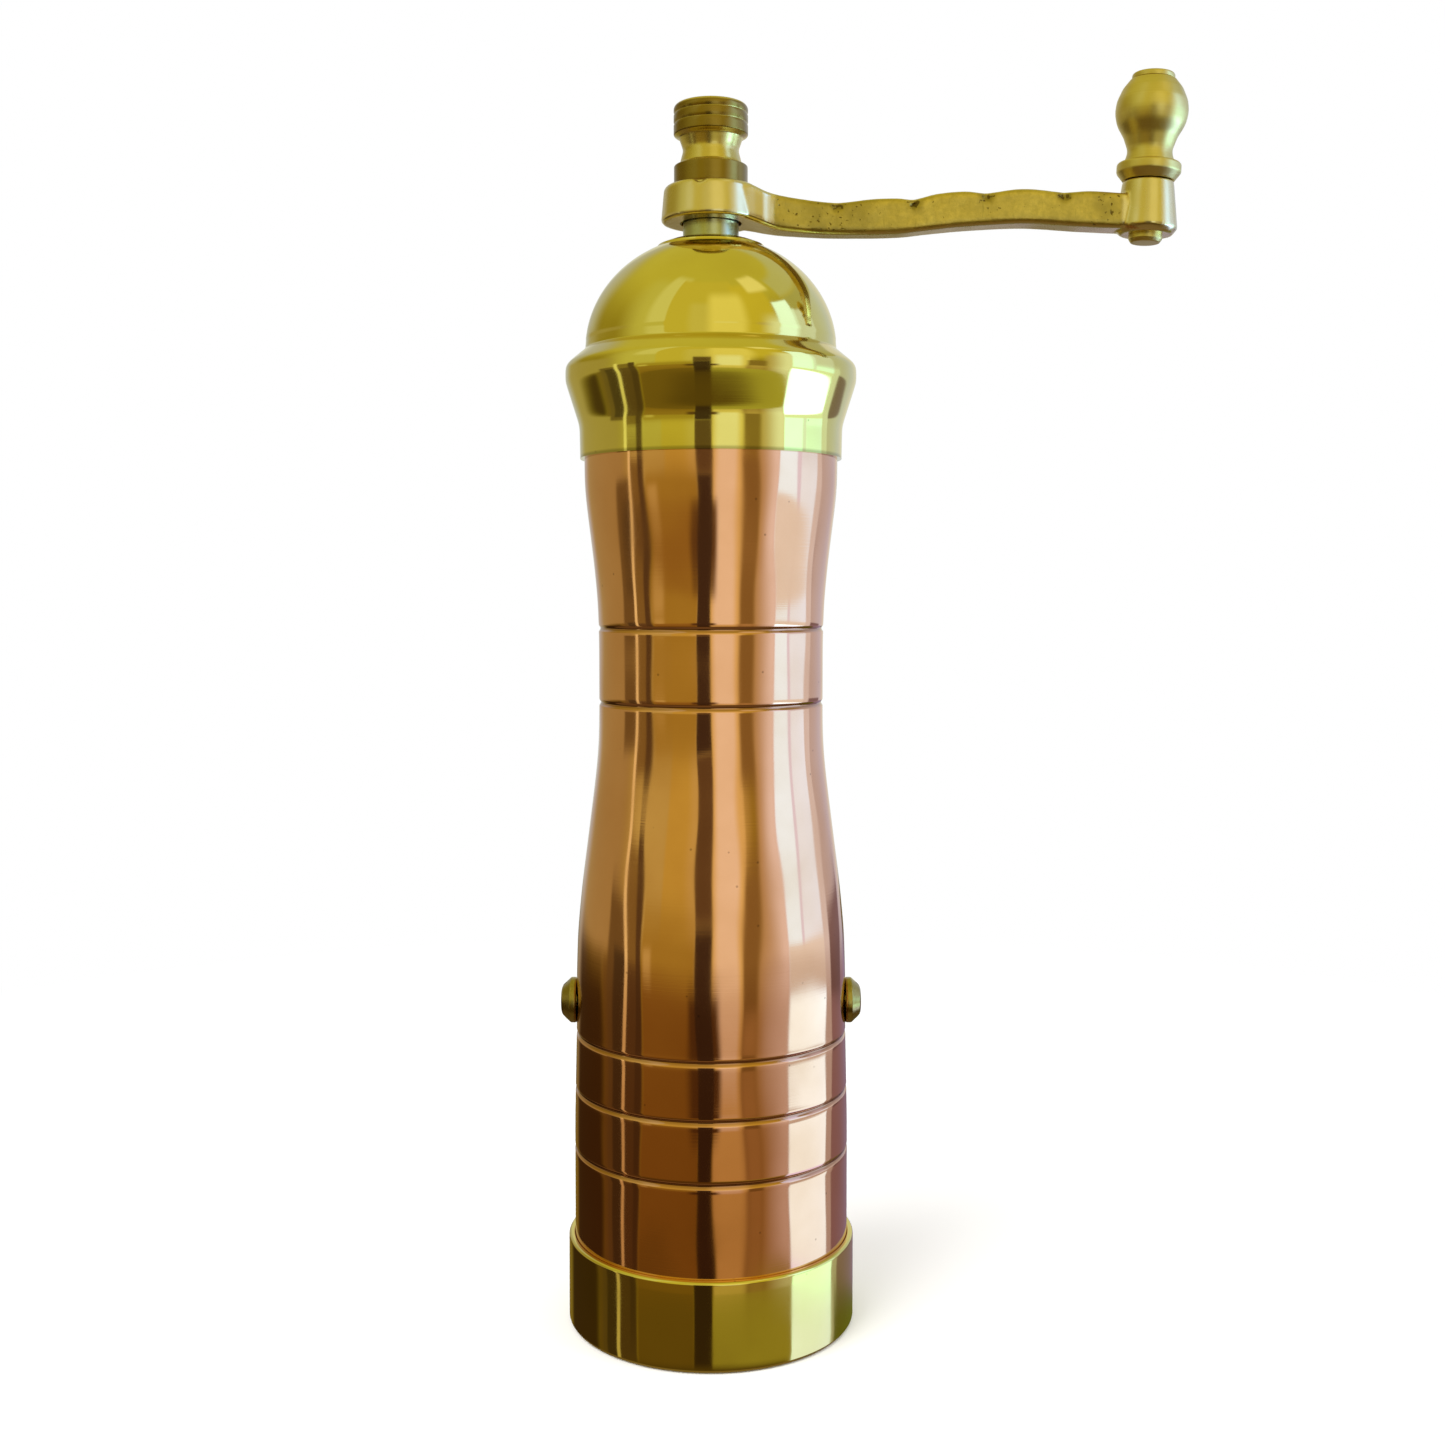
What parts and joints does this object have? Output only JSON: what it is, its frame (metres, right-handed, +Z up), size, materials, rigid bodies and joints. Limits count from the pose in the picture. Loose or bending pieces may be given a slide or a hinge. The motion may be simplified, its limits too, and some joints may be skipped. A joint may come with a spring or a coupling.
{
  "type": "coffee grinder mill",
  "caption": "Hand-cranked column mill with a waisted copper barrel, brass dome cap, leaning grip, adjusting knob and a conical steel burr set.",
  "frame": {"origin": "centre of the open mouth in the foot ring, in the plane the mill stands on", "axes": "+Z up along the shaft, +X along the crank arm towards its grip"},
  "size_m": [0.1045, 0.0484, 0.2082],
  "materials": {
    "polished_copper": "polished copper with age marks",
    "polished_brass": "polished spun brass",
    "cast_brass": "rough cast brass, polished at hub and socket",
    "turned_brass": "satin turned brass",
    "shaft_steel": "turned steel",
    "burr_steel": "hardened steel, dark",
    "cast_iron": "dark cast iron"
  },
  "bodies": {
    "mill_body": {"barrel": "polished_copper", "base_ring": "polished_brass", "side_screws": "turned_brass", "burr_housing": "cast_iron", "outer_burr": "burr_steel", "burr_screws": "shaft_steel", "bearing_bridge": "cast_iron", "bridge_bush": "turned_brass", "bridge_screws": "shaft_steel"},
    "cap": {"cap_dome": "polished_brass", "cap_sleeve": "turned_brass", "cap_bush": "shaft_steel", "bush_nut": "turned_brass"},
    "crank": {"crank_arm": "cast_brass", "grip_pin": "turned_brass"},
    "grip": {"grip": "turned_brass"},
    "knob": {"adjusting_knob": "turned_brass"},
    "rotor": {"thrust_washer": "turned_brass", "burr_spring": "shaft_steel"},
    "shaft": {"shaft": "shaft_steel", "inner_burr": "burr_steel", "burr_washer": "shaft_steel", "burr_nut": "shaft_steel"}
  },
  "joints": [
    {"name": "cap_lift", "type": "slide", "parent": "mill_body", "child": "cap", "axis": [0, 0, 1], "range_m": [0, 0.07]},
    {"name": "crank_turn", "type": "hinge", "parent": "mill_body", "child": "rotor", "pos_m": [0, 0, 0.0665], "axis": [0, 0, 1], "continuous": true},
    {"name": "crank_lift", "type": "slide", "parent": "rotor", "child": "crank", "axis": [0, 0, 1], "range_m": [0, 0.07]},
    {"name": "grip_spin", "type": "hinge", "parent": "crank", "child": "grip", "pos_m": [0.07265, 0, 0.1895], "axis": [0.0436, 0, 0.999], "continuous": true},
    {"name": "burr_lift", "type": "slide", "parent": "rotor", "child": "shaft", "axis": [0, 0, 1], "range_m": [-0.00105, 0.0007], "deforming": ["burr_spring"]},
    {"name": "knob_turn", "type": "hinge", "parent": "crank", "child": "knob", "pos_m": [0, 0, 0.196], "axis": [0, 0, 1], "range_deg": [-360.01, 540.01]}
  ],
  "couplings": [
    {"joint": "crank_lift", "follows": "cap_lift", "ratio": 1},
    {"joint": "knob_turn", "follows": "burr_lift", "rad_per_m": -8976}
  ]
}
